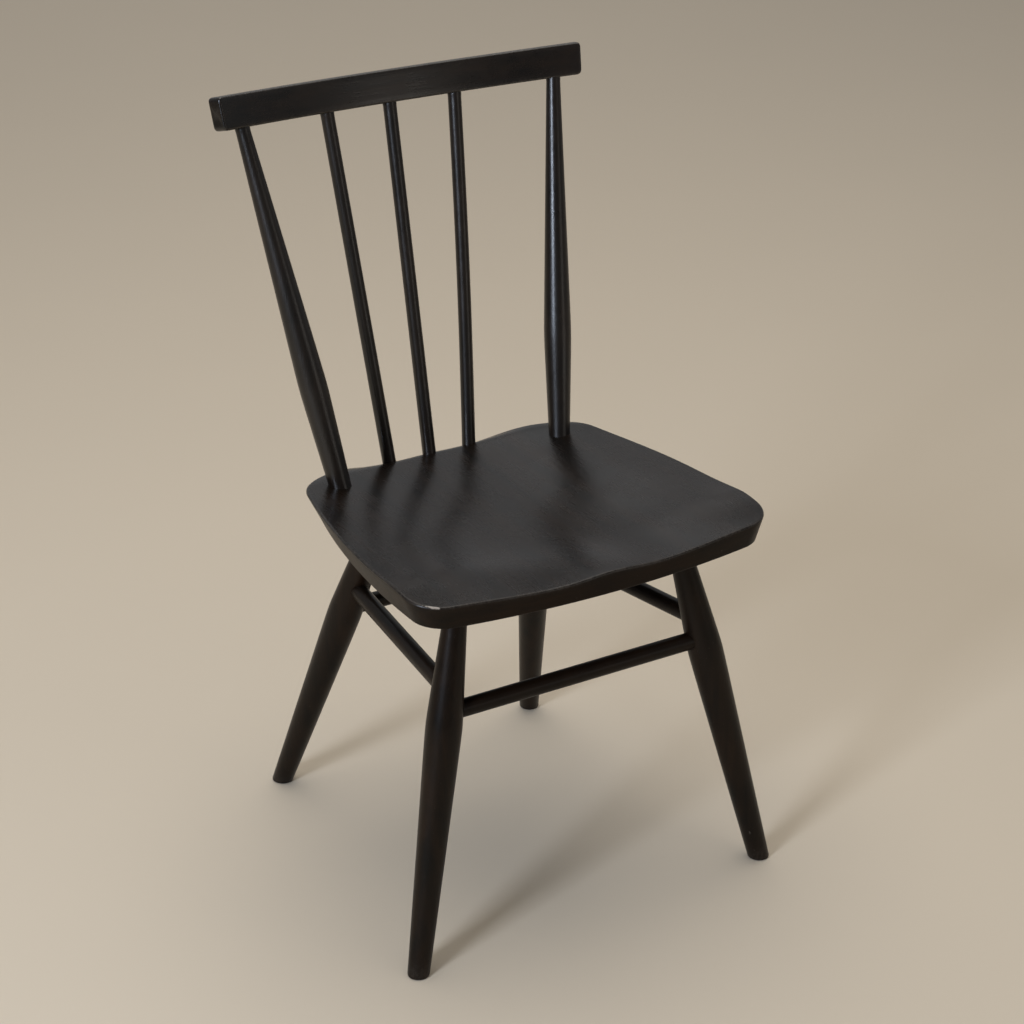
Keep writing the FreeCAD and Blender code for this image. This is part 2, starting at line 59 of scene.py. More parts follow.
def closedTube(name, rings, firstTip, lastTip, material, attributes=None):
    # rings is rows x columns x 3, in mm; each end is closed to its own tip point
    rows, columns = rings.shape[:2]
    points = np.vstack([rings.reshape(-1, 3), [firstTip], [lastTip]]) * mm
    faces = [tuple(f) for f in gridFaces(rows, columns, True)]
    faces += [tuple(f) for f in capFaces(0, columns, rows * columns, True)]
    faces += [tuple(f) for f in capFaces((rows - 1) * columns, columns, rows * columns + 1, False)]
    mesh = bpy.data.meshes.new(name)
    mesh.from_pydata(points.tolist(), [], faces)
    mesh.update()
    mesh.shade_smooth()
    for attribute, values in (attributes or {}).items():
        layer = mesh.attributes.new(attribute, "FLOAT", "POINT")
        allValues = np.r_[values.ravel(), values[0, 0], values[-1, 0]]   # the two tips come last
        layer.data.foreach_set("value", allValues.astype(np.float32))
    mesh.materials.append(material)
    piece = bpy.data.objects.new(name, mesh)
    bpy.context.scene.collection.objects.link(piece)
    return piece


def fits(piece, node):
    # the piece stands for one CAD node and rides with it
    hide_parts(node)
    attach(piece, "root")


def hexLinear(code):
    # sRGB hex to linear colour
    parts = np.array([int(code[i:i + 2], 16) for i in (0, 2, 4)]) / 255
    linear = np.where(parts <= 0.04045, parts / 12.92, ((parts + 0.055) / 1.055) ** 2.4)
    return (*linear.tolist(), 1.0)


def addNode(tree, kind, settings=None, inputs=None):
    # a node with its settings, and its inputs given as values or as the sockets that feed them
    node = tree.nodes.new(kind)
    for key, value in (settings or {}).items():
        setattr(node, key, value)
    for key, value in (inputs or {}).items():
        if isinstance(value, bpy.types.NodeSocket):
            tree.links.new(value, node.inputs[key])
        else:
            node.inputs[key].default_value = value
    return node


def ramp(tree, factor, stops):
    # colour ramp whose stops are (place, grey) or (place, hex)
    node = addNode(tree, "ShaderNodeValToRGB", inputs={"Fac": factor})
    elements = node.color_ramp.elements
    while len(elements) < len(stops):
        elements.new(0.5)
    for element, (place, tone) in zip(elements, stops):
        element.position = place
        element.color = hexLinear(tone) if isinstance(tone, str) else (tone, tone, tone, 1)
    return node.outputs["Color"]


lacquer = {
    "deep": "0b0806",       # black stain soaked into beech, brown where the coat is thin
    "thin": "1a110a",
    "thinAndPaintedFloorWarmth": "20150c",  # thin-coat tone for legs, stretchers and the seat's side, made browner as a painted warm floor reflection
    "bareWoodAndHighlight": "9c9287",   # beech showing, and greyed, where the coat is knocked off; on the seat's front-left arris also a painted highlight
    "rubbed": "5a534c",     # coat rubbed grey on the corners
    "roughness": 0.34,
    "smearRoughness": 0.22, "poreRoughness": 0.10,   # what smears, and wood between pores, add
    "coat": 0.06, "coatRoughness": 0.20, "coatIor": 1.48, "ior": 1.5,
    "poreWidth": 0.9,       # mm across the grain; beech flecks are finer, drawn this coarse to show
    "poreLength": 28,       # mm along the grain
    "poreDepth": 0.35,      # mm
    "waveDepth": 0.6,       # mm, broad unevenness along the grain
    "smear": 60,            # mm, size of polish marks
    "rubPatch": 3.2,        # mm, patches of the rubbed corners
    "chipEdge": 2.4,        # mm, raggedness of a chip's outline
    "dust": 1.4,            # mm apart, specks; real ones are finer, drawn coarse enough to show
}


def blackLacqueredBeech(name, turn, rough=0.0, grain=1.0, gloss=0.5, thin="thin"):
    # Beech under a thin black lacquer: satin black, brownish in thin places, with shallow
    # lengthways pores that break up the shine and pale wood where corners are knocked.
    # The browner thin tone given to legs, stretchers and the seat's side is a painted warm floor
    # reflection, and the pale wood on the seat's front-left arris is partly a painted highlight.
    # turn lays the pattern's long way along the piece.
    material = bpy.data.materials.new(name)
    material.use_nodes = True
    tree = material.node_tree
    tree.nodes.clear()

    def noise(vector, scale, detail, roughness=0.5, distortion=0.0):
        return addNode(tree, "ShaderNodeTexNoise", inputs={
            "Vector": vector, "Scale": scale, "Detail": detail, "Roughness": roughness,
            "Distortion": distortion}).outputs["Fac"]

    def scaled(value, factor, offset):
        # value * factor + offset
        return addNode(tree, "ShaderNodeMath", {"operation": "MULTIPLY_ADD"},
                       {0: value, 1: factor, 2: offset}).outputs[0]

    def mixed(mask, under, over):
        sockets = {0: mask, 6: under, 7: over}   # factor, first colour, second colour
        return addNode(tree, "ShaderNodeMix", {"data_type": "RGBA"}, sockets).outputs[2]

    place = addNode(tree, "ShaderNodeTexCoord").outputs["Object"]
    laid = addNode(tree, "ShaderNodeMapping", inputs={
        "Vector": place, "Rotation": turn}).outputs["Vector"]
    finest = 1 / (lacquer["poreWidth"] * mm)
    squash = lacquer["poreWidth"] / lacquer["poreLength"]
    fibres = addNode(tree, "ShaderNodeMapping", inputs={
        "Vector": laid, "Scale": (1, 1, squash)}).outputs["Vector"]
    pores = noise(fibres, finest * 0.5, 3.0, 0.62)
    broad = noise(fibres, finest * 0.06, 4.0, 0.6)
    smears = noise(place, 1 / (lacquer["smear"] * mm), 5.0, 0.62, 0.6)
    brush = noise(place, 1 / (lacquer["rubPatch"] * mm), 2.0)
    ragged = noise(place, 1 / (lacquer["chipEdge"] * mm), 4.0, 0.7)
    specks = noise(place, 1 / (lacquer["dust"] * mm), 0.0)

    # colour: black to brown with the thickness of the coat (the browner tone also a painted warm floor
    # reflection), then rubbed corners, chips and dust
    colour = ramp(tree, scaled(broad, 0.65, scaled(smears, 0.35, 0.0)),
                  [(0.36, lacquer["deep"]), (0.64, lacquer[thin])])
    rub = addNode(tree, "ShaderNodeAttribute", {"attribute_name": "rub"}).outputs["Fac"]
    rubMask = addNode(tree, "ShaderNodeMath", {"operation": "MULTIPLY", "use_clamp": True},
                      {0: rub, 1: ramp(tree, brush, [(0.40, 0.25), (0.62, 1.0)])}).outputs[0]
    colour = mixed(rubMask, colour, hexLinear(lacquer["rubbed"]))
    # chips show bare wood; on the seat's front-left arris they are partly a painted highlight
    chipAndHighlight = addNode(tree, "ShaderNodeAttribute", {"attribute_name": "chipAndHighlight"}).outputs["Fac"]
    chipAndHighlightMask = ramp(tree, scaled(ragged, 0.9, scaled(chipAndHighlight, 1.0, -0.45)),
                    [(0.50, 0.0), (0.60, 1.0)])
    colour = mixed(chipAndHighlightMask, colour, hexLinear(lacquer["bareWoodAndHighlight"]))
    dust = ramp(tree, specks, [(0.84, 0.0), (0.89, 0.5)])
    colour = mixed(dust, colour, hexLinear(lacquer["rubbed"]))

    # shine: rougher where smeared, and between the pores
    half = lacquer["smearRoughness"] / 2   # taken off, so that smears swing both ways
    uneven = scaled(smears, lacquer["smearRoughness"], lacquer["roughness"] + rough - half)
    roughness = scaled(pores, lacquer["poreRoughness"], uneven)
    poreBump = addNode(tree, "ShaderNodeBump", inputs={
        "Strength": 0.20 * grain, "Distance": lacquer["poreDepth"] * mm,
        "Height": ramp(tree, pores, [(0.34, 0.0), (0.55, 1.0)])})
    waves = addNode(tree, "ShaderNodeBump", inputs={
        "Strength": 0.25, "Distance": lacquer["waveDepth"] * mm, "Height": broad,
        "Normal": poreBump.outputs[0]})
    shader = addNode(tree, "ShaderNodeBsdfPrincipled", inputs={
        "Base Color": colour, "Roughness": roughness, "Normal": waves.outputs[0]})
    shader.inputs["IOR"].default_value = lacquer["ior"]
    shader.inputs["Specular IOR Level"].default_value = gloss
    shader.inputs["Coat Weight"].default_value = lacquer["coat"]
    shader.inputs["Coat Roughness"].default_value = lacquer["coatRoughness"]
    shader.inputs["Coat IOR"].default_value = lacquer["coatIor"]
    output = addNode(tree, "ShaderNodeOutputMaterial")
    tree.links.new(shader.outputs[0], output.inputs[0])
    return material


# how a pattern is turned so that its long way runs along the piece
alongZ, alongX, alongY = (0, 0, 0), (0, math.pi / 2, 0), (math.pi / 2, 0, 0)
seatFinish = blackLacqueredBeech("lacquered_beech_seat", alongY, rough=-0.12, grain=0.8,
                                 gloss=0.27)
# the seat's side, the legs and the stretchers take the browner thin tone: a painted warm floor
# reflection
seatSideFinish = blackLacqueredBeech("lacquered_beech_seat_side", alongX, rough=0.05, grain=0.8,
                                     gloss=0.10, thin="thinAndPaintedFloorWarmth")
railFinish = blackLacqueredBeech("lacquered_beech_rail", alongX, rough=-0.10, grain=0.5)
postFinish = blackLacqueredBeech("lacquered_beech_posts", alongZ, rough=-0.08, grain=0.7)
legFinish = blackLacqueredBeech("lacquered_beech_legs", alongZ, rough=-0.03, grain=0.7,
                                gloss=0.15, thin="thinAndPaintedFloorWarmth")
crossFinish = blackLacqueredBeech("lacquered_beech_cross_stretchers", alongX, rough=-0.03,
                                  grain=0.7, gloss=0.12, thin="thinAndPaintedFloorWarmth")
sideFinish = blackLacqueredBeech("lacquered_beech_side_stretchers", alongY, rough=-0.03,
                                 grain=0.7, gloss=0.12, thin="thinAndPaintedFloorWarmth")
print("finishes made")


def smooth(value, start, end):
    # 0 before start, 1 after end, an even S between; end may be the lower of the two
    t = np.clip((value - start) / (end - start), 0, 1)
    return t * t * (3 - 2 * t)


seatSizes = {   # mm
    "lipHeight": 422, "blankTop": 460, "underside": 404,
    # front, rear, front arc, rear arc, side arc, corner radii, then the corner centres' x
    "underOutline": (207.5, 142.5, 1000, 360, 900, 34, 38, 146, 104),
    "lipOutline": (251.04, 169.46, 1075, 320, 975, 38, 42, 177, 136),
    "topOutline": (248.74, 172.46, 1700, 320, 1400, 40, 42, 186.5, 156),
    # carved top: heights, and from where to where along y each one comes in
    "floor": 432.5, "rearFloor": 431.7, "floorRun": (-57.5, 132.5),
    "middleWing": 18.5, "rearWing": 14.6, "frontWing": 6,
    "rearWingRun": (-110, 90), "frontWingRun": (-160, -250),
    "halfWidth": 205, "widthTaper": 0.1, "wingRun": (0.12, 0.92),   # shares of the half width
    "frontRise": 10.2, "riseRun": (-77.5, -247.5), "riseCurve": 1.3,
    "ridge": 4.5, "ridgeWidth": 44, "ridgeRun": (-127.5, -247.5),
    "rearRoll": 12, "rollWidth": 24, "rollEdge": 166, "rollArc": 400, "rollBend": 0.62,
    "rollFade": 0.7, "fadeRun": (55, 140),   # the roll fades toward the rear corners, along x
    "topArris": 2.6, "lipArris": 1.6,
    "leastSide": 9,         # least height of the side above its lip
    "rub": 0.30, "rubRings": 2.2, "markRings": 3.0,   # rubbed arris: strength, and reach in rings
    "around": 768,          # columns round the outline
    "centreY": -42,         # where the top's rings close
}


def eightArcs(sizes, count):
    # outline of eight tangent arcs (front, corner, side, corner, rear and back), sampled evenly
    # by arc length from the front middle round the right side; gives points and outward normals
    front, rear, frontArc, rearArc, sideArc, frontCorner, rearCorner, frontX, rearX = sizes
    frontCentre = np.array([0, frontArc - front])
    rearCentre = np.array([0, rear - rearArc])
    a = np.array([frontX, frontCentre[1] - math.sqrt((frontArc - frontCorner) ** 2 - frontX ** 2)])
    b = np.array([rearX, rearCentre[1] + math.sqrt((rearArc - rearCorner) ** 2 - rearX ** 2)])
    gap = b - a
    length = np.linalg.norm(gap)
    toA, toB = sideArc - frontCorner, sideArc - rearCorner
    along = (toA ** 2 - toB ** 2 + length ** 2) / (2 * length)
    unit = gap / length
    side = a + unit * along + np.array([-unit[1], unit[0]]) * math.sqrt(toA ** 2 - along ** 2)

    def bearing(fromPoint, toPoint):
        # angle of the line between two points, from the x axis
        return math.atan2(*(toPoint - fromPoint)[::-1])

    turns = [bearing(frontCentre, a), bearing(side, a), bearing(side, b), bearing(rearCentre, b)]
    perArc = 400   # points on each arc before the even sampling
    arcs = [(frontCentre, frontArc, -math.pi / 2, turns[0]), (a, frontCorner, turns[0], turns[1]),
            (side, sideArc, turns[1], turns[2]), (b, rearCorner, turns[2], turns[3]),
            (rearCentre, rearArc, turns[3], math.pi / 2)]
    points, normals = [], []
    for centre, radius, start, end in arcs:
        angle = np.linspace(start, end, perArc)
        out = np.stack([np.cos(angle), np.sin(angle)], -1)
        points.append(centre + radius * out)
        normals.append(out)
    points, normals = np.vstack(points), np.vstack(normals)
    mirror = np.array([-1, 1])
    points = np.vstack([points, points[::-1] * mirror])
    normals = np.vstack([normals, normals[::-1] * mirror])
    run = np.r_[0, np.cumsum(np.linalg.norm(np.diff(points, axis=0), axis=1))]
    even = np.linspace(0, run[-1], count, endpoint=False)
    sampled = np.stack([np.interp(even, run, points[:, i]) for i in (0, 1)], -1)
    facing = np.stack([np.interp(even, run, normals[:, i]) for i in (0, 1)], -1)
    return sampled, facing / np.linalg.norm(facing, axis=1)[:, None]


def seatTop(x, y):
    # height = hollow floor + side wings + rise to the front + centre ridge - roll at the rear edge
    s = seatSizes
    floor = s["floor"] + (s["rearFloor"] - s["floor"]) * smooth(y, *s["floorRun"])
    wing = s["middleWing"] + (s["rearWing"] - s["middleWing"]) * smooth(y, *s["rearWingRun"])
    wing = wing + (s["frontWing"] - s["middleWing"]) * smooth(y, *s["frontWingRun"])
    across = smooth(np.abs(x) / (s["halfWidth"] - s["widthTaper"] * y), *s["wingRun"])
    rise = s["frontRise"] * smooth(y, *s["riseRun"]) ** s["riseCurve"]
    ridge = s["ridge"] * np.exp(-((x / s["ridgeWidth"]) ** 2)) * smooth(y, *s["ridgeRun"])
    # the roll is a parabola up to rollBend and a straight slope beyond it
    fromEdge = s["rollArc"] - np.hypot(x, y - s["rollEdge"] + s["rollArc"])
    roll = np.where(y > 0, np.maximum(1 - fromEdge / s["rollWidth"], 0), 0)
    bend = np.minimum(roll, s["rollBend"])
    fade = 1 - s["rollFade"] * smooth(np.abs(x), *s["fadeRun"])
    return floor + wing * across + rise + ridge - s["rearRoll"] * fade * (2 * roll - bend) * bend


def seatSurface():
    # rings go out over the top, round the arris, down the side, round the lip and in under the seat
    s = seatSizes
    count = s["around"]
    under = eightArcs(s["underOutline"], count)[0]
    lip, lipOut = eightArcs(s["lipOutline"], count)
    top, topOut = eightArcs(s["topOutline"], count)

    def outlineAt(height):
        # straight blend from the lip's outline to the top's
        share = ((height - s["lipHeight"]) / (s["blankTop"] - s["lipHeight"]))[:, None]
        return lip + (top - lip) * share

    edgeZ = np.full(count, 445.0)   # a first guess: the side leans, so edge and height settle together
    for _ in range(12):
        edge = outlineAt(edgeZ)
        edgeZ = seatTop(edge[:, 0], edge[:, 1])
    outward = lipOut + topOut
    outward /= np.linalg.norm(outward, axis=1)[:, None]
    centre = np.array([0, s["centreY"]])
    inner = edge - outward * s["topArris"]
    rings = []
    reach = np.r_[np.linspace(0.02, 0.80, 30), 1 - 0.2 * np.linspace(1, 0, 22)[1:] ** 1.5]
    for share in reach:
        flat = centre + (inner - centre) * share
        rings.append(np.column_stack([flat, seatTop(flat[:, 0], flat[:, 1])]))
    innerZ = seatTop(inner[:, 0], inner[:, 1])
    lipZ = np.minimum(s["lipHeight"], edgeZ - s["leastSide"])
    for angle in np.radians((18, 36, 54, 72, 90)):
        flat = inner + outward * (s["topArris"] * math.sin(angle))
        rings.append(np.column_stack([flat, innerZ - s["topArris"] * (1 - math.cos(angle))]))
    sideTopZ = innerZ - s["topArris"]
    lipStop = lipZ + s["lipArris"]
    for share in np.linspace(0, 1, 9)[1:]:
        height = sideTopZ + (lipStop - sideTopZ) * share
        flat = edge + (lip - edge) * share
        rings.append(np.column_stack([flat, height]))
    for angle in np.radians((30, 60, 90)):
        flat = lip - outward * (s["lipArris"] * (1 - math.cos(angle)))
        rings.append(np.column_stack([flat, lipZ + s["lipArris"] * (1 - math.sin(angle))]))
    lipInner = lip - outward * s["lipArris"]
    for share in np.linspace(0, 1, 7)[1:]:
        flat = lipInner + (under - lipInner) * share
        rings.append(np.column_stack([flat, lipZ + (s["underside"] - lipZ) * share]))
    for share in (0.97, 0.7, 0.4, 0.1):
        flat = centre + (under - centre) * share
        rings.append(np.column_stack([flat, np.full(count, s["underside"])]))
    return np.array(rings), len(reach), centre


def near(points, spot, reach):
    # 1 at the spot, falling to 0 at about twice the reach
    return np.exp(-(np.linalg.norm(points - np.array(spot), axis=-1) / reach) ** 2)


def nearPath(points, path, reach):
    # the same, measured in plan from a line through several places
    closest = np.full(points.shape[:-1], np.inf)
    for a, b in zip(np.array(path[:-1], float), np.array(path[1:], float)):
        share = np.clip((points[..., :2] - a) @ (b - a) / ((b - a) @ (b - a)), 0, 1)
        away = points[..., :2] - a - share[..., None] * (b - a)
        closest = np.minimum(closest, np.linalg.norm(away, axis=-1))
    return np.exp(-(closest / reach) ** 2)


seatMarks = [   # knocks on the arris at the front left, the first also a painted highlight along it, mm: (line they follow, reach, strength)
    (((-215, -213), (-212, -221), (-206.5, -228), (-202, -231.5)), 3.2, 0.86),
    (((-193, -237.5), (-187, -239.5)), 3.0, 0.66),
    (((-172, -242), (-168, -242.6)), 2.4, 0.50),
    (((-219, -138), (-218.6, -134)), 2.2, 0.50),
]

rings, topRings, middle = seatSurface()
arrisRow = np.abs(np.arange(len(rings)) - (topRings + 1.5))[:, None]   # rings away from the arris
seatRub = (np.exp(-(arrisRow / seatSizes["rubRings"]) ** 2)
           * np.full(rings.shape[1], seatSizes["rub"]))
# bare-wood marks along the front-left arris, the first one partly a painted highlight
seatChipAndHighlight = np.zeros(rings.shape[:2])
for path, reach, strength in seatMarks:
    nearArris = np.exp(-(arrisRow / seatSizes["markRings"]) ** 2)
    seatChipAndHighlight = np.maximum(seatChipAndHighlight, strength * nearPath(rings, path, reach) * nearArris)
seatPiece = closedTube("seat_plank", rings, (*middle, float(seatTop(middle[0], middle[1]))),
                       (*middle, seatSizes["underside"]), seatFinish,
                       {"rub": seatRub, "chipAndHighlight": seatChipAndHighlight})
seatPiece.data.materials.append(seatSideFinish)   # duller and browner, for the side and the underside; the browner tone is a painted warm floor reflection
sideRows = np.zeros(len(rings) - 1, int)
sideRows[topRings + 4:] = 1   # from the end of the arris down
topFan, underFan = np.zeros(rings.shape[1], int), np.ones(rings.shape[1], int)
faceRows = np.r_[np.repeat(sideRows, rings.shape[1]), topFan, underFan]
seatPiece.data.polygons.foreach_set("material_index", faceRows.astype(np.int32))
fits(seatPiece, "seat")
print("seat made")


railSizes = {   # mm, in a frame that leans back with the posts
    "half": 231.8, "height": 37.2, "thickness": 18.4, "bow": 44.4, "flare": 2.6, "lean": 14.62,
    "frontY": 181.46, "bottomZ": 849.9, "corner": 5, "edge": 2.6,
    "along": 240,                            # rings along its length
    "cornerPoints": 7, "sidePoints": 5,      # round a section's corner, and along a side between
    "endShares": (0.85, 0.6, 0.3),           # rings that close each flat end
    "arrisAcross": 8.4, "arrisUp": 17.8,     # where the section's rubbed corners are
    "rub": 0.35, "rubReach": 1.4,
}
railMarks = (((-231, 186, 852), 4, 0.46), ((58, 233, 885), 4, 0.42))   # chips: place, reach, strength


def railSurface():
    # a rounded rectangle carried along a level arc; its height and thickness follow quarter circles
    # in at each end, and the ends close on a flat face
    s = railSizes
    half, high, thick = s["half"], s["height"] / 2, s["thickness"] / 2
    radius = (half ** 2 + s["bow"] ** 2) / (2 * s["bow"])
    angle = np.linspace(0, math.pi / 2, 12)
    run = half - s["corner"] + s["corner"] * np.sin(angle)
    middle = np.linspace(-(half - s["corner"]), half - s["corner"], s["along"])
    x = np.r_[-run[::-1], middle[1:-1], run]
    fromEnd = half - np.abs(x)
    inCorner = np.clip(s["corner"] - fromEnd, 0, s["corner"])
    inEdge = np.clip(s["edge"] - fromEnd, 0, s["edge"])
    halfHigh = high - s["corner"] + np.sqrt(s["corner"] ** 2 - inCorner ** 2)
    halfThick = thick - s["edge"] + np.sqrt(s["edge"] ** 2 - inEdge ** 2)
    # section: four quarter rounds joined by straights, as shares of the half sizes
    count = s["cornerPoints"]
    quarter = np.linspace(0, math.pi / 2, count)
    section = []
    for k, (signT, signH) in enumerate(((1, 1), (-1, 1), (-1, -1), (1, -1))):
        turn = quarter + k * math.pi / 2
        signs = [np.full(count, signT), np.full(count, signH)]
        section.append(np.stack([*signs, np.cos(turn), np.sin(turn)], -1))
    flat = np.linspace(0, 1, s["sidePoints"] + 2)[1:-1]
    spread = []
    for k in range(4):
        spread.append(section[k])
        here, after = section[k][-1], section[(k + 1) % 4][0]
        spread.append(here + (after - here) * flat[:, None])
    section = np.vstack(spread)
    edge = s["edge"]
    t = section[:, 0] * (halfThick[:, None] - edge) + edge * section[:, 2]
    h = section[:, 1] * (halfHigh[:, None] - edge) + edge * section[:, 3]
    lengthwise = x[:, None] * (1 + s["flare"] * h / (2 * high) / half)
    rings = np.stack([lengthwise, t, h], -1)
    # the flat ends: the last ring drawn in toward its middle
    first = [rings[0] * [1, share, share] for share in s["endShares"][::-1]]
    last = [rings[-1] * [1, share, share] for share in s["endShares"]]
    rings = np.concatenate([first, rings, last])
    tips = np.array([[rings[0, :, 0].mean(), 0, 0], [rings[-1, :, 0].mean(), 0, 0]])

    def bend(points):
        # the straight bar laid along the arc, then leaned back
        swing = np.arcsin(np.clip(points[..., 0] / radius, -1, 1))
        out = radius + thick + points[..., 1]
        localX, localY = out * np.sin(swing), s["bow"] - radius + out * np.cos(swing)
        # mid thickness keeps its length: the front is a little shorter, the back a little longer
        localX = localX * radius / (radius + thick)
        localZ = points[..., 2] + high
        lean = math.radians(s["lean"])
        return np.stack([localX, s["frontY"] + localY * math.cos(lean) + localZ * math.sin(lean),
                         s["bottomZ"] - localY * math.sin(lean) + localZ * math.cos(lean)], -1)

    return bend(rings), bend(tips), rings


railRings, railTips, railFlat = railSurface()
fromArris = np.maximum(np.abs(np.abs(railFlat[..., 1]) - railSizes["arrisAcross"]),
                       np.abs(np.abs(railFlat[..., 2]) - railSizes["arrisUp"]))
corners = np.exp(-(fromArris / railSizes["rubReach"]) ** 2)
railChip = np.zeros(railRings.shape[:2])
for spot, reach, strength in railMarks:
    railChip = np.maximum(railChip, strength * near(railRings, spot, reach))
railPiece = closedTube("crest_rail_bowed", railRings, railTips[0], railTips[1], railFinish,
                       {"rub": corners * railSizes["rub"], "chipAndHighlight": railChip})
fits(railPiece, "crest_rail")
print("crest rail made")


turned = {   # mm
    "legFoot": 12.0, "legSwell": 20.1, "legSwellAt": 286, "legNeck": 13.0, "legSwellSoft": 0.35,
    "postFoot": 12.6, "postSwell": 16.15, "postSwellAt": 133, "postTop": 8.1, "postSwellSoft": 0.35,
    "stickFoot": 8.1, "stickTop": 7.8, "stretcher": 10.1,
    "legFootAt": -12,            # the leg's taper meets legFoot this far below the floor
    "postFootAt": 12, "postStraight": 14,   # where the post's taper meets postFoot and where it starts
    "footEase": 1.6,             # rounding of the foot's edge
    "swellLift": 0.35,           # makes up for what the soft swell takes off
    "neckBelow": 9,              # length below the seat over which a leg is straight
    "legTenon": {"front": 20, "rear": 17},   # depth of the legs in the seat
    "postLevel": 430,            # height at which the uprights' places are given
    "belowLevel": 9,             # length of an upright below that, inside the seat
    "collar": 0.35, "collarBelow": 1.5, "collarWide": 1.6,   # thin collar of lacquer under the rail
    "intoRail": 5, "shortOfAxis": 2.5,   # upright's end past the rail's underside; stretcher's end
    "slopeOver": 40,             # length over which a foot's level cut fades out
    "columns": 72,
}


def turnedPiece(name, start, direction, lengths, radii, material, bow=(0, 0, 0), marks=(),
                slope=None):
    # a profile (length, radius) carried round a straight or slightly bowed axis; slope is the plane
    # (point, normal) that the first ring is laid on, as where a foot is cut level with the floor
    start, direction = np.array(start, float), np.array(direction, float)
    direction /= np.linalg.norm(direction)
    helper = np.array([1.0, 0, 0]) if abs(direction[0]) < 0.9 else np.array([0, 1.0, 0])
    across = np.cross(direction, helper)
    across /= np.linalg.norm(across)
    other = np.cross(direction, across)
    columns = turned["columns"]
    angle = np.linspace(0, 2 * math.pi, columns, endpoint=False)
    around = np.cos(angle)[:, None] * across + np.sin(angle)[:, None] * other
    share = (lengths - lengths[0]) / (lengths[-1] - lengths[0])
    sideways = np.sin(math.pi * share)[:, None] * np.array(bow, float)
    axis = start + lengths[:, None] * direction + sideways
    rings = axis[:, None, :] + radii[:, None, None] * around[None]
    if slope is not None:
        point, normal = np.array(slope[0], float), np.array(slope[1], float)
        height = (rings - point) @ normal
        keep = 1 - np.clip((lengths - lengths[0]) / turned["slopeOver"], 0, 1)[:, None]
        low = (rings[0] - point) @ normal
        rings = rings - (low[None] * keep / (direction @ normal))[..., None] * direction
    first, last = rings[0].mean(0), rings[-1].mean(0)
    zeros = np.zeros(rings.shape[:2])
    attributes = {"rub": zeros.copy(), "chipAndHighlight": zeros.copy()}
    for spot, reach, strength, kind in marks:
        attributes[kind] = np.maximum(attributes[kind], strength * near(rings, spot, reach))
    return closedTube(name, rings, first, last, material, attributes)


def softMin(a, b, soft):
    # the smaller of two straight tapers, rounded where they cross
    return (a + b) / 2 - np.sqrt(((a - b) / 2) ** 2 + soft ** 2)


def taper(lengths, at, value, swellAt, swell):
    # straight line through the end radius and the swell
    return value + (swell - value) * (lengths - at) / (swellAt - at)


legPlaces = {   # mm: where the axis meets the floor and a level 400 up, for the right side
    "front": ((229.6, -225.24, 0), (143.8, -165.04, 400)),
    "rear": ((179.8, 218.56, 0), (106.0, 78.76, 400)),
}
legMarks = {   # knocks: mm up the leg, offset from its axis, reach, strength
    "leg_front_right": ((40, (-9, -9, 0), 5, 0.50), (16, (-8, -9, 0), 4, 0.50)),
    "leg_front_left": ((130, (-3, -14, 0), 4, 0.46), (9, (2, -12, 0), 4, 0.46)),
}
for end, (foot, top) in legPlaces.items():
    for side, word in ((-1, "left"), (1, "right")):
        mirror = np.array([side, 1, 1])
        start, direction = np.array(foot) * mirror, (np.array(top) - foot) * mirror
        direction = direction / np.linalg.norm(direction)
        node = f"leg_{end}_{word}"
        toSeat = seatSizes["underside"] / direction[2]
        neckAt = toSeat - turned["neckBelow"]
        lastLength = toSeat + turned["legTenon"][end] - 1
        lengths = np.r_[0, 0.4, 1.0, 1.8, 3, 6, np.linspace(12, lastLength, 110)]
        swellAt, swell = turned["legSwellAt"], turned["legSwell"] + turned["swellLift"]
        radii = softMin(taper(lengths, turned["legFootAt"], turned["legFoot"], swellAt, swell),
                        taper(lengths, neckAt, turned["legNeck"], swellAt, swell),
                        turned["legSwellSoft"])
        radii = np.where(lengths > neckAt, turned["legNeck"], radii)
        ease = np.clip(1 - lengths / turned["footEase"], 0, 1)
        radii = radii - turned["footEase"] * (1 - np.sqrt(np.maximum(1 - ease ** 2, 0))) * 0.8
        marks = [((start[0], start[1], 3), 11, 0.55, "rub")]   # feet are rubbed all round
        marks += [(start + direction * up + offset, reach, strength, "chipAndHighlight")
                  for up, offset, reach, strength in legMarks.get(node, ())]
        piece = turnedPiece(node + "_turned", start, direction, lengths, radii, legFinish,
                            marks=marks, slope=((0, 0, 0), (0, 0, 1)))
        fits(piece, node)
print("legs made")

uprightPlaces = {   # mm at postLevel: place, then lean per unit of height, for the right side
    "post": ((144.8, 92.16), (0.1312, 0.2616)),
    "side": ((53.7, 151.76), (0.0697, 0.1876)),
    "middle": ((0, 152.06), (0, 0.1998)),
}
lean = math.radians(railSizes["lean"])
railUp = np.array([0, math.sin(lean), math.cos(lean)])
railOrigin = np.array([0, railSizes["frontY"], railSizes["bottomZ"]])


